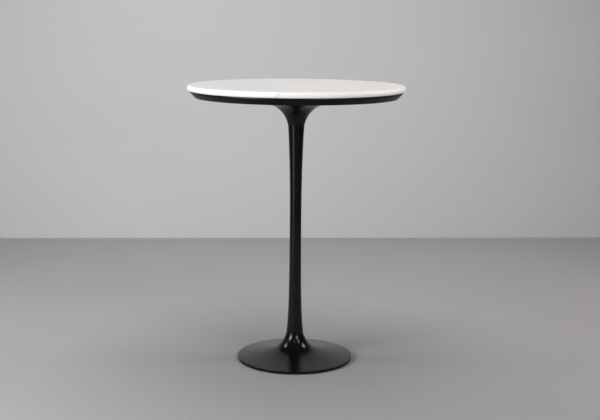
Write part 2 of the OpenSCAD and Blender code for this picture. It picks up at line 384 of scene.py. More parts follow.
    def eased(self, width: float, segments: int = 2, least: float = 28.0) -> "Form":
        """Rounds the form's corners.

        Args:
            width: How far each rounding reaches.
            segments: How many faces make it.
            least: The least angle of a corner that is rounded, in degrees.

        Returns:
            The form itself.
        """
        limit = math.radians(least)
        corners = [edge for edge in self.mesh.edges if edge.calc_face_angle(0.0) > limit]
        bmesh.ops.bevel(
            self.mesh, geom=corners, offset=width, offset_type="OFFSET", segments=segments, profile=0.5,
            affect="EDGES", material=-1, clamp_overlap=True,
        )
        return self.tidied()

    def with_forms(self, way: Way, *others: "Form") -> "Form":
        """Adds, cuts or keeps what other forms cover.

        Args:
            way: How the others act on this form.
            others: The other forms, which are used up.

        Returns:
            The form itself.
        """
        blank = self.as_object("blank")
        tools = [other.as_object("tool") for other in others]
        for tool in tools:
            act = blank.modifiers.new("act", "BOOLEAN")
            act.operation = way.value
            act.solver = "EXACT"
            act.object = tool
        bpy.context.view_layer.update()
        result = bpy.data.meshes.new_from_object(blank.evaluated_get(bpy.context.evaluated_depsgraph_get()))
        self.mesh = bmesh.new()
        self.mesh.from_mesh(result)
        bpy.data.meshes.remove(result)
        for used in [blank, *tools]:
            data = used.data
            bpy.data.objects.remove(used)
            bpy.data.meshes.remove(data)
        return self.tidied()

    def as_object(self, name: str) -> bpy.types.Object:
        """Makes an object of the form, and frees the form's own mesh.

        Args:
            name: The object's name.

        Returns:
            The object.
        """
        data = bpy.data.meshes.new(name)
        self.mesh.to_mesh(data)
        self.mesh.free()
        made = bpy.data.objects.new(name, data)
        bpy.context.scene.collection.objects.link(made)
        return made

    def piece(
        self, name: str, finish: "Finish", slot: str, nodes: list[str], body: str = Body.TABLE.value,
    ) -> None:
        """Makes the finished object and fits it to the frame.

        Args:
            name: The piece's name.
            finish: Its finish.
            slot: The name of its finish's slot; not used.
            nodes: The solids that it stands for.
            body: The body that it moves with.
        """
        bmesh.ops.scale(self.mesh, vec=(MM, MM, MM), verts=self.mesh.verts)
        for face in self.mesh.faces:
            face.smooth = True
        for edge in self.mesh.edges:
            edge.smooth = edge.calc_face_angle(0.0) < SHARP
        made = self.as_object(name)
        made.data.materials.append(finish.material())
        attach(made, body)
        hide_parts(*nodes)
        log.info("%s: %d faces on %s", name, len(made.data.polygons), body)


# Finishes


class Graph:
    """The nodes of one material or of the world."""

    def __init__(self, tree: bpy.types.NodeTree) -> None:
        """Takes a node tree and empties it."""
        self.tree = tree
        tree.nodes.clear()

    def node(
        self, kind: str, settings: dict[str, Any] | None = None, inputs: dict[str | int, Any] | None = None,
    ) -> bpy.types.Node:
        """Adds a node.

        Args:
            kind: The node's type.
            settings: Its own settings, set before its sockets.
            inputs: A value or a link for each socket.

        Returns:
            The node.
        """
        made = self.tree.nodes.new(kind)
        for name, value in (settings or {}).items():
            setattr(made, name, value)
        for name, value in (inputs or {}).items():
            self.feed(made.inputs[name], value)
        return made

    def feed(self, socket: bpy.types.NodeSocket, value: Any) -> None:
        """Gives a socket a link or a value.

        Args:
            socket: The socket.
            value: A Value, another socket, a number or a colour.
        """
        if isinstance(value, Value):
            self.tree.links.new(value.socket, socket)
        elif isinstance(value, bpy.types.NodeSocket):
            self.tree.links.new(value, socket)
        elif isinstance(value, tuple) and socket.type == "RGBA":
            socket.default_value = (*value, 1.0)
        else:
            socket.default_value = value

    def place(self) -> bpy.types.NodeSocket:
        """Gives the place on the object, in metres."""
        return self.node("ShaderNodeTexCoord").outputs["Object"]

    def noise(self, place: Any, scale: float, detail: float = 2.0, rough: float = 0.5) -> "Value":
        """Adds a noise from 0 to 1 with so many lumps to a metre, and so many finer layers of a strength."""
        inputs = {"Vector": place, "Scale": scale, "Detail": detail, "Roughness": rough}
        return Value(self, self.node("ShaderNodeTexNoise", {}, inputs).outputs[0])

    def along(self, place: Any, heading: Any) -> "Value":
        """Measures a place along a heading's vector."""
        made = self.node("ShaderNodeVectorMath", {"operation": "DOT_PRODUCT"}, {0: place, 1: heading})
        return Value(self, made.outputs["Value"])

    def stretched(self, place: Any, scale: Colour) -> bpy.types.NodeSocket:
        """Stretches a place along each axis."""
        return self.node("ShaderNodeVectorMath", {"operation": "MULTIPLY"}, {0: place, 1: scale}).outputs[0]

    def mix(self, share: Any, first: Any, second: Any) -> bpy.types.NodeSocket:
        """Mixes two colours, by the share of the second."""
        made = self.node("ShaderNodeMix", {"data_type": "RGBA"}, {0: share, 6: first, 7: second})
        return made.outputs[2]

    def bump(self, height: "Value", depth: float, strength: float) -> bpy.types.NodeSocket:
        """Turns a height into a normal, where a height of 1 is as many metres as the depth."""
        inputs = {"Strength": strength, "Distance": depth, "Height": height}
        return self.node("ShaderNodeBump", {}, inputs).outputs["Normal"]


@dataclass(frozen=True)
class Value:
    """A number that varies over a surface, with the usual arithmetic."""

    graph: Graph
    socket: bpy.types.NodeSocket

    def _sum(self, operation: str, *terms: Any) -> "Value":
        """Adds one Math node, and gives its result."""
        made = self.graph.node("ShaderNodeMath", {"operation": operation}, dict(enumerate(terms)))
        return Value(self.graph, made.outputs[0])

    def __add__(self, other: Any) -> "Value":
        """Adds."""
        return self._sum("ADD", self, other)

    def __radd__(self, other: Any) -> "Value":
        """Adds, from the right."""
        return self._sum("ADD", other, self)

    def __sub__(self, other: Any) -> "Value":
        """Subtracts."""
        return self._sum("SUBTRACT", self, other)

    def __rsub__(self, other: Any) -> "Value":
        """Subtracts, from the right."""
        return self._sum("SUBTRACT", other, self)

    def __mul__(self, other: Any) -> "Value":
        """Multiplies."""
        return self._sum("MULTIPLY", self, other)

    def __rmul__(self, other: Any) -> "Value":
        """Multiplies, from the right."""
        return self._sum("MULTIPLY", other, self)

    def __abs__(self) -> "Value":
        """Drops the sign."""
        return self._sum("ABSOLUTE", self)

    def wave(self) -> "Value":
        """Takes the sine."""
        return self._sum("SINE", self)

    def eased(self, low: float, high: float) -> "Value":
        """Rises smoothly from 0 at the low value to 1 at the high one."""
        inputs = {"Value": self, "From Min": low, "From Max": high}
        return Value(self.graph, self.graph.node("ShaderNodeMapRange", SMOOTH, inputs).outputs[0])


@dataclass(frozen=True)
class Finish:
    """A finish with one material, made when it is first asked for."""

    name: str

    def sockets(self, graph: Graph) -> dict[str, Any]:
        """Gives a value or a link for each of the shader's sockets."""
        raise NotImplementedError

    def material(self) -> bpy.types.Material:
        """Gives the finish's material."""
        known = bpy.data.materials.get(self.name)
        if known:
            return known
        made = bpy.data.materials.new(self.name)
        made.use_nodes = True
        graph = Graph(made.node_tree)
        shader = graph.node("ShaderNodeBsdfPrincipled", {}, self.sockets(graph))
        self.output(graph, shader)
        return made

    def output(self, graph: Graph, shader: bpy.types.Node) -> None:
        """Joins the shader to the material's output."""
        graph.node("ShaderNodeOutputMaterial", {}, {"Surface": shader.outputs[0]})


@dataclass(frozen=True)
class Vein:
    """A thin vein in the stone, on a plane that noise bends."""

    heading: Colour
    offset: float
    width: float
    depth: float

    def mask(self, graph: Graph, place: Any, bend: Value, breaks: Value) -> Value:
        """Gives the vein's strength at a place, where it is bent in metres and broken from 0 to 1."""
        distance = abs(graph.along(place, self.heading) + bend - self.offset)
        return (1.0 - distance.eased(0.0, self.width)) * breaks * self.depth


@dataclass(frozen=True)
class Marble(Finish):
    """Honed white marble with soft clouds and a few thin veins."""

    cool: Colour
    warm: Colour
    cloud: Colour
    vein: Colour
    veins: tuple[Vein, ...]
    polish: float

    def sockets(self, graph: Graph) -> dict[str, Any]:
        """Gives the stone's shades, clouds, veins and polish.

        Args:
            graph: The nodes to build in.

        Returns:
            A value or a link for each socket.
        """
        place = graph.place()
        broad = graph.noise(place, 2.6, detail=3.0, rough=0.55)
        side = (graph.along(place, (1.0, 0.35, 0.0)) + (broad - 0.5) * 0.5).eased(-0.10, 0.16)
        ground = graph.mix(side, self.cool, self.warm)
        drawn = graph.stretched(place, (1.0, 2.4, 1.6))
        clouds = graph.noise(drawn, 5.0, detail=5.0, rough=0.62).eased(0.46, 0.74) * 0.55
        mottle = graph.noise(place, 34.0, detail=4.0, rough=0.6).eased(0.42, 0.8) * 0.22
        ground = graph.mix(clouds + mottle, ground, self.cloud)
        sweep = (graph.noise(place, 4.0, detail=4.0, rough=0.55) - 0.5) * 0.16
        bend = sweep + (graph.noise(place, 28.0, detail=3.0) - 0.5) * 0.016
        breaks = graph.noise(place, 9.0).eased(0.34, 0.62)
        shown = sum(vein.mask(graph, place, bend, breaks) for vein in self.veins)
        ground = graph.mix(shown, ground, self.vein)
        grain = graph.noise(place, 900.0)
        return {
            "Base Color": ground,
            "Roughness": self.polish + (graph.noise(place, 16.0, detail=3.0) - 0.5) * 0.08,
            "IOR": 1.5,
            "Normal": graph.bump(grain, 0.00002, strength=0.4),
        }


@dataclass(frozen=True)
class Enamel(Finish):
    """Black paint or enamel, sprayed on, with a faint texture of its own."""

    colour: Colour
    rough: float
    spread: float
    peel: float
    ior: float

    def sockets(self, graph: Graph) -> dict[str, Any]:
        """Gives the coat's colour, gloss and texture.

        Args:
            graph: The nodes to build in.

        Returns:
            A value or a link for each socket.
        """
        place = graph.place()
        drift = graph.noise(place, 14.0, detail=4.0, rough=0.6)
        lift = tuple(channel * 1.6 + 0.001 for channel in self.colour)
        peel = graph.noise(place, 520.0)
        return {
            "Base Color": graph.mix(drift.eased(0.3, 0.75), self.colour, lift),
            "Roughness": self.rough + (drift - 0.5) * self.spread + (peel - 0.5) * self.spread * 0.5,
            "IOR": self.ior,
            "Normal": graph.bump(peel, self.peel, strength=0.5),
        }


@dataclass(frozen=True)
class Metal(Finish):
    """Turned or plated metal with fine rings left by the tool."""

    colour: Colour
    dull: Colour
    rough: float
    rings: float = 9000.0

    def sockets(self, graph: Graph) -> dict[str, Any]:
        """Gives the metal's patina and its rings.

        Args:
            graph: The nodes to build in.

        Returns:
            A value or a link for each socket.
        """
        place = graph.place()
        patina = graph.noise(place, 90.0, detail=4.0, rough=0.6)
        wander = graph.noise(place, 300.0) * 2.5
        ring = (graph.along(place, (0.0, 0.0, self.rings)) + wander).wave() * 0.5 + 0.5
        return {
            "Base Color": graph.mix(patina.eased(0.35, 0.7), self.colour, self.dull),
            "Metallic": 1.0,
            "Roughness": self.rough + (patina - 0.5) * 0.2 + (ring - 0.5) * 0.05,
            "Normal": graph.bump(ring, 0.00001, strength=0.4),
        }


@dataclass(frozen=True)
class Plain(Finish):
    """Moulded or spread stuff with a fine grain."""

    colour: Colour
    pale: Colour
    rough: float
    grain: float

    def sockets(self, graph: Graph) -> dict[str, Any]:
        """Gives the stuff's colour and grain.

        Args:
            graph: The nodes to build in.

        Returns:
            A value or a link for each socket.
        """
        place = graph.place()
        fine = graph.noise(place, 1400.0, detail=3.0, rough=0.6)
        broad = graph.noise(place, 60.0, detail=3.0)
        return {
            "Base Color": graph.mix(broad.eased(0.35, 0.7), self.colour, self.pale),
            "Roughness": self.rough + (broad - 0.5) * 0.12,
            "Normal": graph.bump(fine, self.grain, strength=0.5),
        }


@dataclass(frozen=True)
class StagePaintAndShading(Finish):
    """Matt paint of the floor or the wall, whose colour fades along one way as painted light and shade for
    how the lamps light it.

    It is clear from behind. With an open radius it is also clear that far around its middle, so that a view
    from below shows the hollow of the foot, and light from below reaches it.
    """

    colour: Colour
    far: Colour
    heading: Colour
    begin: float
    end: float
    open_r: float = 0.0

    def sockets(self, graph: Graph) -> dict[str, Any]:
        """Gives the paint's colour, with its fade of painted light and shade.

        Args:
            graph: The nodes to build in.

        Returns:
            A value or a link for each socket.
        """
        place = graph.place()
        drift = (graph.noise(place, 1.4, detail=3.0) - 0.5) * 0.5
        # Painted light and shade: the colour fades from colour to far along the heading, standing in for how
        # the lamps light the sheet.
        share = (graph.along(place, self.heading) + drift).eased(self.begin, self.end)
        paint = graph.mix(share, self.colour, self.far)
        return {"Base Color": paint, "Roughness": 0.9, "Specular IOR Level": 0.2}

    def output(self, graph: Graph, shader: bpy.types.Node) -> None:
        """Joins the shader to the material's output, and clears the back and the round under the foot.

        Args:
            graph: The nodes to build in.
            shader: The finish's shader.
        """
        back = Value(graph, graph.node("ShaderNodeNewGeometry").outputs["Backfacing"])
        place = graph.place()
        outside = graph.along(place, place).eased(self.open_r ** 2, (self.open_r + OPEN_EDGE) ** 2)
        clear = graph.node("ShaderNodeBsdfTransparent")
        share = 1.0 - (1.0 - back) * outside
        both = graph.node("ShaderNodeMixShader", {}, {0: share, 1: shader.outputs[0], 2: clear.outputs[0]})
        graph.node("ShaderNodeOutputMaterial", {}, {"Surface": both.outputs[0]})


STONE = Marble(
    "white_marble", cool=(0.855, 0.851, 0.845), warm=(0.865, 0.85, 0.828), cloud=(0.79, 0.78, 0.77),
    vein=(0.40, 0.38, 0.41), polish=0.42,
    veins=(
        Vein((0.93, 0.30, -0.9), -0.957, 0.0035, 0.42),
        Vein((0.62, -0.78, 0.5), 0.52, 0.0045, 0.34),
        Vein((0.80, 0.60, 0.4), 0.55, 0.0030, 0.28),
        Vein((0.88, 0.47, -0.3), -0.47, 0.0050, 0.26),
        Vein((0.35, 0.94, 0.3), 0.36, 0.0035, 0.26),
    ),
)
GLUE = Plain("cured_adhesive", (0.62, 0.60, 0.55), (0.70, 0.68, 0.63), rough=0.55, grain=0.00004)
LACQUER = Enamel("black_lacquer", (0.003, 0.003, 0.0033), rough=0.36, spread=0.10, peel=0.00002, ior=1.23)
ENAMEL = Enamel("black_enamel", (0.0028, 0.0028, 0.0030), rough=0.18, spread=0.05, peel=0.00002, ior=1.31)
ZINC = Metal("zinc_plate", (0.66, 0.67, 0.69), (0.50, 0.51, 0.54), rough=0.34)
BRASS = Metal("turned_brass", (0.80, 0.62, 0.32), (0.60, 0.45, 0.22), rough=0.30)
NYLON = Plain("black_nylon", (0.030, 0.030, 0.033), (0.045, 0.045, 0.048), rough=0.52, grain=0.00003)
# The floor's fade, paler towards the back, and the wall's fade, darker towards +X, are painted light and
# shade.
FLOOR_PAINT_AND_SHADING = StagePaintAndShading(
    "floor_paint_and_shading", colour=(0.295, 0.299, 0.304), far=(0.52, 0.525, 0.532), heading=(0.0, 1.0, 0.0),
    begin=-0.7, end=1.9, open_r=0.168,
)
WALL_PAINT_AND_SHADING = StagePaintAndShading(
    "wall_paint_and_shading", colour=(0.675, 0.680, 0.686), far=(0.615, 0.620, 0.626), heading=(1.0, 0.0, 0.0),
    begin=-1.2, end=1.2,
)


# Pieces of the table


@dataclass
class Top:
    """The marble slab on its board, with the bed of adhesive between them."""

    height: float = 914.0
    radius: float = 353.25
    thick: float = 18.8
    round_r: float = 9.2
    board_thick: float = 22.0
    board_inset: float = 9.15
    lip: float = 4.45
    bevel_in: float = 16.0
    recess: float = 1.0
    recess_rim: float = 24.0
    inserts: int = BOLTS
    insert_circle: float = BOLT_CIRCLE
    insert_bore: float = 5.05
    insert_depth: float = 14.0

    def build(self) -> None:
        """Builds and dresses all the pieces."""
        self.slab().piece("marble_slab", STONE, "marble", ["marble_top"])
        self.board().piece("backer_board_lacquered", LACQUER, "black_board", ["backer_board"])
        self.dress_bed()

    def slab(self) -> Form:
        """Makes the slab, with its edge rounded over its whole thickness."""
        low = self.height - self.thick
        edge = self.radius - self.round_r
        outline = Outline((0.0, low), (edge - REACH, low))
        outline.arc((edge, low + self.round_r), self.round_r, -90.0, 0.0, 14)
        outline.arc((edge, self.height - self.round_r), self.round_r, 0.0, 90.0, 14)
        outline.line((edge - REACH, self.height), (0.0, self.height))
        return Form.turned(outline, RIM_STEPS)

    def board(self) -> Form:
        """Makes the board, with its bevel, its upright lip and its recess."""
        high = self.height - self.thick
        low = high - self.board_thick
        edge = self.radius - self.board_inset
        rim = edge - self.recess_rim
        outline = Outline((0.0, low), (edge - self.bevel_in - REACH, low), (edge - self.bevel_in, low))
        outline.line((edge, high - self.lip), (edge, high), (edge - REACH, high))
        outline.line((rim, high), (rim, high - self.recess), (0.0, high - self.recess))
        form = Form.turned(outline, RIM_STEPS).eased(0.5, 3, least=20.0)
        bore = Form.rod(self.insert_bore, low - PAST, low + self.insert_depth, 40)
        return form.with_forms(Way.CUT, bore.around(self.inserts, self.insert_circle))

    def dress_bed(self) -> None:
        """Gives the bed of adhesive its finish."""
        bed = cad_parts["adhesive_bed"]
        bed.data.materials.clear()
        bed.data.materials.append(GLUE.material())
        log.info("adhesive_bed: dressed")


@dataclass
class Pedestal:
    """The waisted column between the cast foot and the cast head, with the pins that hold them in line."""

    foot_z: float = 90.5
    head_z: float = 784.0
    foot_end_r: float = 28.0
    head_end_r: float = 27.1
    wall: float = 3.0
    socket_depth: float = 22.0
    foot_socket: float = 22.3
    head_socket: float = 21.4
    pin_r: float = 1.5
    pin_play: float = 0.05
    pin_half: float = 6.0
    pin_circles: tuple[float, float] = (24.8, 23.9)
    bore_margin: float = 0.5

    def build(self) -> None:
        """Builds and dresses all the pieces."""
        self.column().piece("column_tube", ENAMEL, "black_tube", ["column"])
        names = ["lower_locating_pin", "upper_locating_pin"]
        for name, circle, height in zip(names, self.pin_circles, (self.foot_z, self.head_z)):
            pin = Outline.upright(0.0, self.pin_r, height - self.pin_half, height + self.pin_half)
            form = Form.turned(pin, 32).eased(0.3).moved(circle)
            form.piece(name + "_ground", ZINC, "steel", [name])

    def side(self) -> Outline:
        """Gives the column's side, from the foot past the waist to the head."""
        side = Outline((self.foot_end_r, self.foot_z))
        side.curve((21.245, 153.712), (19.13, 235.094), (19.13, 506.0), 48)
        return side.curve((19.13, 657.788), (25.868, 778.578), (self.head_end_r, self.head_z), 48)

    def column(self) -> Form:
        """Makes the tube, bored at both ends for the plugs of the castings."""
        side = self.side()
        low = self.foot_z + self.socket_depth
        high = self.head_z - self.socket_depth
        margin = self.bore_margin
        inner = [(r - self.wall, z) for r, z in side.points if low + margin < z < high - margin]
        section = Outline(*side.points).line((self.head_socket, self.head_z), (self.head_socket, high))
        section.line((inner[-1][0], high), *reversed(inner), (inner[0][0], low))
        section.line((self.foot_socket, low), (self.foot_socket, self.foot_z))
        form = Form.turned(section, 128, closed=True).eased(0.25, least=40.0)
        return form.with_forms(Way.CUT, *self.pin_holes())

    def pin_holes(self) -> list[Form]:
        """Makes the drills of both pins' holes."""
        ends = zip(self.pin_circles, (self.foot_z, self.head_z))
        bore = self.pin_r + self.pin_play
        return [Form.rod(bore, z - self.pin_half, z + self.pin_half, 32).moved(r) for r, z in ends]


@dataclass
class Head:
    """The flared casting on top of the column, cored out from above, with the screws that hold the board."""

    pedestal: Pedestal
    board_z: float = 873.2
    radius: float = 118.0
    edge_z: float = 858.2
    wall: float = 7.0
    core_r: float = 82.0
    hub_r: float = 16.0
    seat_z: float = 846.0
    plug_r: float = 21.3
    plug_z: float = 763.0
    rod_bore: float = 6.75
    ribs: int = 4
    first_rib: float = 45.0
    rib_t: float = 6.0
    rib_z: float = 867.2
    fillet: float = 8.0
    draft: float = 2.0
    sink: float = 2.0
    drill_run: float = 20.0
    screws: int = BOLTS
    screw_circle: float = BOLT_CIRCLE
    screw_bore: float = 3.375
    washer_bore: float = 6.75
    screw_seat_z: float = 863.2
    screw_r: float = 3.0
    screw_pitch: float = 1.0
    screw_len: float = 24.0
    screw_head_r: float = 5.25
    screw_head_h: float = 3.3
    key: float = 4.0
    key_depth: float = 2.0
    washer_r: float = 6.0
    washer_hole: float = 3.05
    washer_t: float = 1.6
    screw_chamfer: float = 0.6
    insert_r: float = 5.0
    insert_len: float = 13.0
    insert_sides: int = 60
    knurl: float = 0.965
    groove_r: float = 4.5
    groove_w: float = 0.9
    groove_shares: tuple[float, float] = (0.32, 0.64)

    def build(self) -> None:
        """Builds and dresses all the pieces."""
        self.casting().piece("head_casting", ENAMEL, "black_head", ["head_flange"])
        for name, finish, slot, node, form in (
            ("flange_screw_set", ZINC, "steel", "flange_screws", self.screw()),
            ("flange_washer_set", ZINC, "steel", "flange_washers", self.washer()),
            ("insert_set", BRASS, "brass", "threaded_inserts", self.insert()),
        ):
            form.around(self.screws, self.screw_circle).piece(name, finish, slot, [node])

    def flare(self) -> Outline:
        """Gives the flare's outside, from the column to the flange's edge."""
        flare = Outline((self.pedestal.head_end_r, self.pedestal.head_z))
        return flare.curve((42.651, 852.449), (107.515, 855.193), (self.radius, self.edge_z), 36)

    def casting(self) -> Form:
        """Makes the casting with its plug, core, ribs and counterbores."""
        foot = self.pedestal.head_z
        inside = self.flare().beside(-self.wall)
        floor = inside.within(self.hub_r + self.fillet, self.core_r)
        section = Outline((self.rod_bore, self.plug_z), (self.plug_r, self.plug_z), (self.plug_r, foot))
        section.line(*self.flare().points, (self.radius, self.board_z), (self.core_r, self.board_z))
        section.line((self.core_r, inside.height_at(self.core_r)), *reversed(floor))
        section.line((self.hub_r + self.draft, floor[0][1]), (self.hub_r, self.seat_z))
        section.line((self.rod_bore, self.seat_z))
        form = Form.turned(section, closed=True).eased(0.5, 3, least=40.0)
        form.with_forms(Way.ADD, self.rib_set())
        start = self.edge_z - self.drill_run
        drills = (
            Form.rod(self.screw_bore, start, self.board_z + PAST, 32),
            Form.rod(self.washer_bore, start, self.screw_seat_z, 48),
        )
        bores = [drill.around(self.screws, self.screw_circle) for drill in drills]
        return form.with_forms(Way.CUT, *bores, *self.pedestal.pin_holes())

    def rib_set(self) -> Form:
        """Makes the ribs, which reach a little way into the wall."""
        inside = self.flare().beside(self.sink - self.wall)
        bed = inside.within(self.hub_r + self.fillet - self.sink, self.core_r + self.sink)
        plate = Outline((self.hub_r - PAST, self.rib_z), (self.hub_r - PAST, bed[0][1]), *bed)
        plate.line((bed[-1][0], self.rib_z))
        rib = Form.plate(plate, self.rib_t).eased(0.8, least=60.0)
        return rib.around(self.ribs, 0.0, self.first_rib)

    def screw(self) -> Form:
        """Makes one screw with a socket head, in the middle of its circle."""
        under = self.screw_seat_z - self.washer_t
        low = under - self.screw_head_h
        form = Form.turned(Outline.upright(0.0, self.screw_head_r, low, under), 48).eased(0.4, 3)
        shank = Form.thread(
            self.screw_r, self.screw_pitch, under - 0.5, under + self.screw_len, self.screw_chamfer,
        )
        return form.with_forms(Way.ADD, shank).with_forms(Way.CUT, socket_key(self.key, low, self.key_depth))

    def washer(self) -> Form:
        """Makes one washer, in the middle of its circle."""
        return flat_ring(self.washer_hole, self.washer_r, self.screw_seat_z - self.washer_t, self.washer_t)

    def insert(self) -> Form:
        """Makes one threaded insert, knurled outside, in the middle of its circle."""
        low = self.board_z
        high = low + self.insert_len
        step = 360.0 / self.insert_sides
        form = Form.rod(self.insert_r, low, high, self.insert_sides)
        for corner in form.mesh.verts:
            if round(math.degrees(math.atan2(corner.co.y, corner.co.x)) / step) % 2:
                corner.co.xy *= self.knurl
        form.with_forms(Way.CUT, Form.rod(self.washer_hole, low - PAST, high + PAST, 40))
        for share in self.groove_shares:
            groove = low + self.insert_len * share
            band = Outline.upright(self.groove_r, self.insert_r + PAST, groove, groove + self.groove_w)
            form.with_forms(Way.CUT, Form.turned(band, self.insert_sides, closed=True))
        return form


@dataclass
class FootCasting:
    """The trumpet-shaped foot, hollow underneath, with a hub and ribs that run out to the glides."""

    pedestal: Pedestal
    radius: float = 191.0
    sole_z: float = 1.5
    rim_r: float = 1.4
    rim_centre: Point = (189.6, 8.914)
    wall: float = 8.0
    hollow_r: float = 128.0
    roof_z: float = 56.0
    hub_r: float = 20.0
    hub_z: float = 44.0
    plug_r: float = 22.2
    plug_z: float = 111.5
    rod_bore: float = 6.75
    ribs: int = 4
    rib_t: float = 8.0
    rib_end_z: float = 4.5
    glide_circle: float = 150.0
    pad_bore: float = 13.75
    pad_z: float = 4.7
    stud_bore: float = 4.05
    stud_skin: float = 2.6
    first_glide: float = 45.0
    sink: float = 3.0
    bury: float = 2.0

    def build(self) -> None:
        """Builds and dresses the casting."""
        self.casting().piece("foot_casting", ENAMEL, "black_iron", ["base_casting"])

    def skirt(self) -> Outline:
        """Gives the outside, from the neck over the knee to the rim."""
        skirt = Outline((self.pedestal.foot_end_r, self.pedestal.foot_z))
        skirt.curve((29.683, 74.754), (44.853, 46.117), (62.0, 37.0), 32)
        return skirt.curve((66.513, 34.6), (80.961, 25.596), (189.795, 10.3), 40)

    def casting(self) -> Form:
        """Makes the casting with its plug, hollow, ribs and glide pockets."""
        foot_z = self.pedestal.foot_z
        inside = self.skirt().beside(self.wall)
        roof = [point for point in inside.within(0.0, self.hollow_r) if point[1] < self.roof_z]
        section = Outline((self.rod_bore, self.plug_z), (self.plug_r, self.plug_z), (self.plug_r, foot_z))
        section.line(*self.skirt().points)
        section.arc(self.rim_centre, self.rim_r, 82.0, 0.0, 8)
        section.line((self.radius, self.sole_z), (self.hollow_r, self.sole_z))
        section.line((self.hollow_r, inside.height_at(self.hollow_r)), *reversed(roof))
        section.line((roof[0][0], self.roof_z), (self.hub_r, self.roof_z), (self.hub_r, self.hub_z))
        section.line((self.rod_bore, self.hub_z))
        form = Form.turned(section, RIM_STEPS, closed=True).eased(0.5, 3, least=40.0)
        form.with_forms(Way.ADD, self.rib_set())
        top = self.skirt().height_at(self.glide_circle) - self.stud_skin
        drills = (Form.rod(self.pad_bore, -PAST, self.pad_z, 72), Form.rod(self.stud_bore, -PAST, top, 48))
        bores = [drill.around(self.ribs, self.glide_circle, self.first_glide) for drill in drills]
        return form.with_forms(Way.CUT, *bores, *self.pedestal.pin_holes())

    def rib_set(self) -> Form:
        """Makes the ribs, which reach a little way into the wall and the hub."""
        top = self.roof_z + self.bury
        reach = self.hollow_r + PAST
        inside = self.skirt().beside(self.wall - self.sink).within(0.0, reach)
        bed = [point for point in inside if point[1] < top]
        plate = Outline((self.hub_r - self.bury, self.hub_z), (self.hub_r, self.hub_z))
        plate.line((reach, self.rib_end_z), *reversed(bed), (self.hub_r - self.bury, top))
        rib = Form.plate(plate, self.rib_t).eased(1.0, 3, least=60.0)
        return rib.around(self.ribs, 0.0, self.first_glide)


@dataclass
class Tie:
    """The rod that draws head, column and foot together, with its washers and nuts."""

    head_seat: float
    hub_z: float
    rod_r: float = 6.0
    pitch: float = 1.75
    low: float = 23.2
    high: float = 864.3
    threaded: float = 46.0
    nut_af: float = 18.0
    nut_h: float = 10.8
    washer_r: float = 12.0
    washer_t: float = 2.5
    lock_r: float = 10.2
    lock_t: float = 2.5
    lock_gap: float = 14.0
    lock_turn: float = 20.0
    play: float = 0.05
    rod_chamfer: float = 1.2
    shank_r: float = 5.98
    overlap: float = 3.0
    nut_flat: float = 0.97
    nut_spare: float = 0.5
    mouth: float = 1.8
    mouth_h: float = 0.8

    def build(self) -> None:
        """Builds and dresses all the pieces."""
        hole = self.rod_r + self.play
        base_z = self.hub_z - self.washer_t
        lock_z = base_z - self.lock_t
        for name, node, form in (
            ("tie_rod_threaded", "tie_rod", self.rod()),
            ("head_washer", "rod_washer_top", flat_ring(hole, self.washer_r, self.head_seat, self.washer_t)),
            ("foot_washer", "rod_washer_base", flat_ring(hole, self.washer_r, base_z, self.washer_t)),
            ("split_washer", "rod_lock_washer", self.split_ring(lock_z)),
            ("head_nut", "rod_nut_top", self.nut(self.head_seat + self.washer_t)),
            ("foot_nut", "rod_nut_base", self.nut(lock_z - self.nut_h)),
        ):
            form.piece(name, ZINC, "steel", [node])

    def rod(self) -> Form:
        """Makes the rod, with a thread at each end."""
        low_in = self.low + self.threaded
        high_in = self.high - self.threaded
        low_end = Form.thread(self.rod_r, self.pitch, self.low, low_in, self.rod_chamfer)
        high_end = Form.thread(self.rod_r, self.pitch, high_in, self.high, self.rod_chamfer)
        middle = Form.rod(self.shank_r, low_in - self.overlap, high_in + self.overlap)
        return middle.with_forms(Way.ADD, low_end, high_end)

    def nut(self, low: float) -> Form:
        """Makes a hexagon nut with turned chamfers.

        Args:
            low: The height of its lower face.

        Returns:
            The form.
        """
        high = low + self.nut_h
        corner = self.nut_af / 2 / math.cos(HALF_CORNER)
        wide = corner + self.nut_spare
        flat = self.nut_af / 2 * self.nut_flat
        drop = (wide - flat) * math.tan(HALF_CORNER)
        blank = Outline((0.0, low), (flat, low), (wide, low + drop))
        blank.line((wide, high - drop), (flat, high), (0.0, high))
        hole = self.rod_r + self.play
        mouth = hole + self.mouth
        bore = Outline((0.0, low - PAST), (mouth, low - PAST), (hole, low + self.mouth_h))
        bore.line((hole, high - self.mouth_h), (mouth, high + PAST), (0.0, high + PAST))
        form = Form.rod(corner, low, high, 6).with_forms(Way.KEEP, Form.turned(blank, 96))
        return form.with_forms(Way.CUT, Form.turned(bore, SMALL_STEPS))

    def split_ring(self, low: float) -> Form:
        """Makes the split lock washer.

        Args:
            low: The height of its lower face.

        Returns:
            The form.
        """
        section = Outline.upright(self.rod_r + self.play, self.lock_r, low, low + self.lock_t)
        ring = Form.arched(section, 360.0 - self.lock_gap, 60).eased(0.25, least=60.0)
        return ring.moved(angle=self.lock_turn)


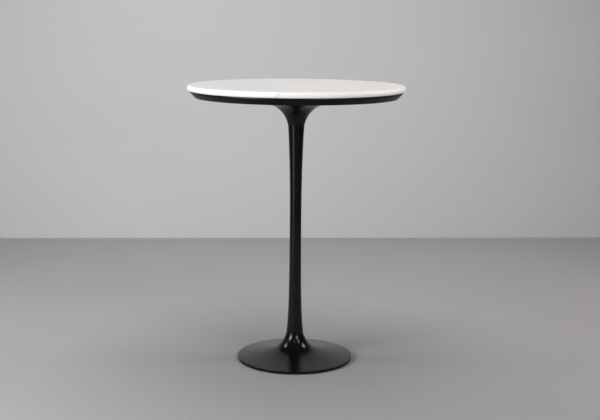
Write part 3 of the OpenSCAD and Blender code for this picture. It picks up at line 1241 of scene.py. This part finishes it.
@dataclass
class Glide:
    """One levelling glide: a nylon foot, and the stud that is turned in it from below."""

    number: int
    angle: float
    circle: float
    pad_r: float = 13.0
    pad_round: float = 0.9
    pad_h: float = 4.4
    pad_floor: float = 1.4
    pad_lip: float = 0.7
    key_hole: float = 4.0
    gap: float = 0.3
    stud_r: float = 4.0
    stud_pitch: float = 1.25
    stud_top: float = 13.26
    stud_chamfer: float = 0.7
    stud_overlap: float = 0.4
    stud_head_r: float = 7.0
    stud_head_h: float = 2.2
    key: float = 4.0
    key_depth: float = 3.0

    def build(self) -> None:
        """Builds and dresses both pieces."""
        for name, finish, slot, node, body, form in (
            ("glide_pad", NYLON, "nylon", "glide_foot", Body.FOOT, self.pad()),
            ("glide_screw", ZINC, "steel", "glide_stud", Body.STUD, self.stud()),
        ):
            form.moved(self.circle, angle=self.angle)
            mover = body.value.format(self.number)
            form.piece(f"{name}_{self.number}", finish, slot, [f"{node}_{self.number}"], mover)

    def pad(self) -> Form:
        """Makes the nylon foot, with the pocket of the stud's head and the hole for the key."""
        under = self.pad_h - self.pad_lip
        pocket = self.stud_head_r + self.gap
        neck = self.stud_r + self.gap
        bend = self.pad_r - self.pad_round
        section = Outline((self.key_hole, 0.0), (bend, 0.0))
        section.arc((bend, self.pad_round), self.pad_round, -90.0, 0.0, 5)
        section.line((self.pad_r, self.pad_h), (neck, self.pad_h), (neck, under), (pocket, under))
        section.line((pocket, self.pad_floor), (self.key_hole, self.pad_floor))
        return Form.turned(section, 72, closed=True).eased(0.2, least=50.0)

    def stud(self) -> Form:
        """Makes the stud, with its flat head, its thread and its socket."""
        low = self.pad_floor
        high = low + self.stud_head_h
        form = Form.turned(Outline.upright(0.0, self.stud_head_r, low, high), 56).eased(0.3)
        start = high - self.stud_overlap
        shank = Form.thread(self.stud_r, self.stud_pitch, start, self.stud_top, self.stud_chamfer)
        return form.with_forms(Way.ADD, shank).with_forms(Way.CUT, socket_key(self.key, low, self.key_depth))


def flat_ring(hole: float, radius: float, low: float, thick: float) -> Form:
    """Makes a flat washer with eased edges.

    Args:
        hole: The radius of its hole.
        radius: Its outer radius.
        low: The height of its lower face.
        thick: Its thickness.

    Returns:
        The form.
    """
    section = Outline.upright(hole, radius, low, low + thick)
    return Form.turned(section, SMALL_STEPS, closed=True).eased(0.25)


def socket_key(flats: float, low: float, depth: float) -> Form:
    """Makes the hexagon that cuts a key socket into a screw's head from below.

    Args:
        flats: The key's size across its flats.
        low: The height of the head's lower face.
        depth: The socket's depth.

    Returns:
        The form.
    """
    return Form.rod(flats / 2 / math.cos(HALF_CORNER), low - PAST, low + depth, 6)


# Stage, light and camera


@dataclass(frozen=True)
class Softbox:
    """A rectangular lamp that faces the table; its angles are in degrees and its lengths in metres."""

    name: str
    azimuth: float
    elevation: float
    distance: float
    width: float
    height: float
    radiance: float
    colour: Colour
    aim: tuple[float, float, float] = (0.0, 0.0, 0.06)

    def build(self) -> None:
        """Makes the lamp; its azimuth runs from the camera's side towards +X."""
        side = math.radians(self.azimuth)
        rise = math.radians(self.elevation)
        away = Vector((math.sin(side) * math.cos(rise), -math.cos(side) * math.cos(rise), math.sin(rise)))
        data = bpy.data.lights.new(self.name, "AREA")
        data.shape = "RECTANGLE"
        data.size = self.width
        data.size_y = self.height
        data.energy = self.radiance * math.pi * self.width * self.height
        data.color = self.colour
        lamp = bpy.data.objects.new(self.name, data)
        lamp.location = Vector(self.aim) + away * self.distance
        lamp.rotation_mode = "QUATERNION"
        lamp.rotation_quaternion = away.to_track_quat("Z", "Y")
        lamp.visible_camera = False
        bpy.context.scene.collection.objects.link(lamp)


@dataclass
class Studio:
    """The plain room, its lamps and the camera."""

    wall_y: float = 2.05
    wall_turn: float = 2.3
    behind: float = 0.5
    half_width: float = 7.0
    wall_top: float = 2.2
    front_y: float = -7.0
    ambient: Colour = (0.03, 0.03, 0.031)
    backdrop: Colour = (0.62, 0.62, 0.62)
    eye: tuple[float, float, float] = (0.0, -3.67424, 1.144)
    pitch: float = 9.892
    yaw: float = 0.224
    roll: float = 0.459
    lens: float = 67.94
    sensor: float = 36.0
    haze: float = 0.06
    # Name, azimuth, elevation, distance, width, height, radiance and colour of each lamp
    softboxes: list[Softbox] = field(default_factory=lambda: [
        Softbox("wide_box_left", -46.0, 17.0, 2.5, 1.50, 0.80, 1.5, COOL_LIGHT),
        Softbox("core_box_left", -50.0, 18.0, 2.48, 1.10, 0.64, 10.0, COOL_LIGHT),
        Softbox("low_strip_left", -40.0, 4.0, 2.5, 0.85, 0.34, 3.2, COOL_LIGHT),
        Softbox("high_box_left", -70.0, 24.0, 2.5, 0.88, 0.55, 1.6, COOL_LIGHT),
        Softbox("small_box_left", -54.0, 25.5, 2.46, 0.76, 0.26, 19.0, COOL_LIGHT),
        Softbox("box_right", 29.0, 23.0, 2.5, 1.05, 0.68, 6.6, COOL_LIGHT),
        Softbox("side_lamp_left", -93.0, 40.0, 2.5, 0.58, 0.52, 13.0, WARM_LIGHT),
        Softbox("side_lamp_right", 93.0, 40.0, 2.5, 0.66, 0.52, 13.0, (1.0, 0.90, 0.83)),
        Softbox("small_lamp_front", -2.0, 38.0, 2.5, 0.20, 0.24, 11.0, (1.0, 0.88, 0.82)),
        Softbox("small_lamp_right", 46.0, 36.0, 2.5, 0.27, 0.31, 22.0, WARM_LIGHT),
        Softbox("ceiling_box", 0.0, 90.0, 2.6, 1.25, 1.25, 4.4, (0.985, 0.993, 1.0)),
    ])

    def build(self) -> None:
        """Builds the room, the lamps and the camera."""
        self.floor()
        self.wall()
        for softbox in self.softboxes:
            softbox.build()
        self.world()
        self.camera()
        bpy.context.scene.view_settings.view_transform = "Standard"

    def sheet(self, name: str, place: Matrix, width: float, height: float, paint: StagePaintAndShading) -> None:
        """Makes one flat side of the room.

        Args:
            name: Its name.
            place: Where its middle lies, and which way it faces.
            width: Its width.
            height: Its height.
            paint: Its paint.
        """
        form = Form()
        bmesh.ops.create_grid(form.mesh, x_segments=1, y_segments=1, size=0.5)
        bmesh.ops.scale(form.mesh, vec=(width, height, 1.0), verts=form.mesh.verts)
        bmesh.ops.transform(form.mesh, matrix=place, verts=form.mesh.verts)
        made = form.as_object(name)
        made.data.materials.append(paint.material())

    def floor(self) -> None:
        """Lays the floor, which faces up."""
        back_y = self.wall_y + self.behind
        depth = back_y - self.front_y
        place = Matrix.Translation((0.0, (back_y + self.front_y) / 2, 0.0))
        self.sheet("floor", place, 2 * self.half_width, depth, FLOOR_PAINT_AND_SHADING)

    def wall(self) -> None:
        """Stands the wall, which faces the camera."""
        turn = Matrix.Rotation(math.radians(self.wall_turn), 4, "Z") @ Matrix.Rotation(math.pi / 2, 4, "X")
        place = Matrix.Translation((0.0, self.wall_y, self.wall_top / 2)) @ turn
        self.sheet("wall", place, 2 * self.half_width, self.wall_top, WALL_PAINT_AND_SHADING)

    def world(self) -> None:
        """Lights the room evenly, with a plain pale backdrop beyond the room and under the horizon."""
        world = bpy.data.worlds.new("studio")
        bpy.context.scene.world = world
        world.use_nodes = True
        graph = Graph(world.node_tree)
        rays = graph.node("ShaderNodeLightPath")
        camera = Value(graph, rays.outputs["Is Camera Ray"])
        heading = graph.node("ShaderNodeTexCoord").outputs["Generated"]
        low = 1.0 - graph.along(heading, (0.0, 0.0, 1.0)).eased(0.0, self.haze)
        colour = graph.mix(camera + (1.0 - camera) * low, self.ambient, self.backdrop)
        light = graph.node("ShaderNodeBackground", {}, {"Color": colour})
        graph.node("ShaderNodeOutputWorld", {}, {"Surface": light.outputs[0]})

    def camera(self) -> None:
        """Stands the camera where the photograph was taken from."""
        pitch, yaw, roll = (math.radians(angle) for angle in (self.pitch, self.yaw, self.roll))
        ahead = Vector((math.sin(yaw) * math.cos(pitch), math.cos(yaw) * math.cos(pitch), -math.sin(pitch)))
        right = ahead.cross(Vector((0.0, 0.0, 1.0))).normalized()
        above = right.cross(ahead)
        tilted = math.cos(roll) * right + math.sin(roll) * above
        raised = math.cos(roll) * above - math.sin(roll) * right
        data = bpy.data.cameras.new("camera")
        data.lens = self.lens
        data.sensor_width = self.sensor
        camera = bpy.data.objects.new("camera", data)
        turn = Matrix((tilted, raised, -ahead)).transposed()
        camera.matrix_world = Matrix.Translation(self.eye) @ turn.to_4x4()
        bpy.context.scene.collection.objects.link(camera)
        bpy.context.scene.camera = camera


def main() -> None:
    """Builds the table and its studio, and logs how many faces each finished piece has."""
    logging.basicConfig(level=logging.INFO, format="%(name)s: %(message)s")
    Studio().build()
    pedestal = Pedestal()
    head = Head(pedestal)
    foot = FootCasting(pedestal)
    glides = [
        Glide(index + 1, foot.first_glide + index * 360.0 / foot.ribs, foot.glide_circle)
        for index in range(foot.ribs)
    ]
    for part in (Top(), pedestal, head, foot, Tie(head.seat_z, foot.hub_z), *glides):
        part.build()
        log.info("%s done", type(part).__name__)


if __name__ == "__main__":
    main()
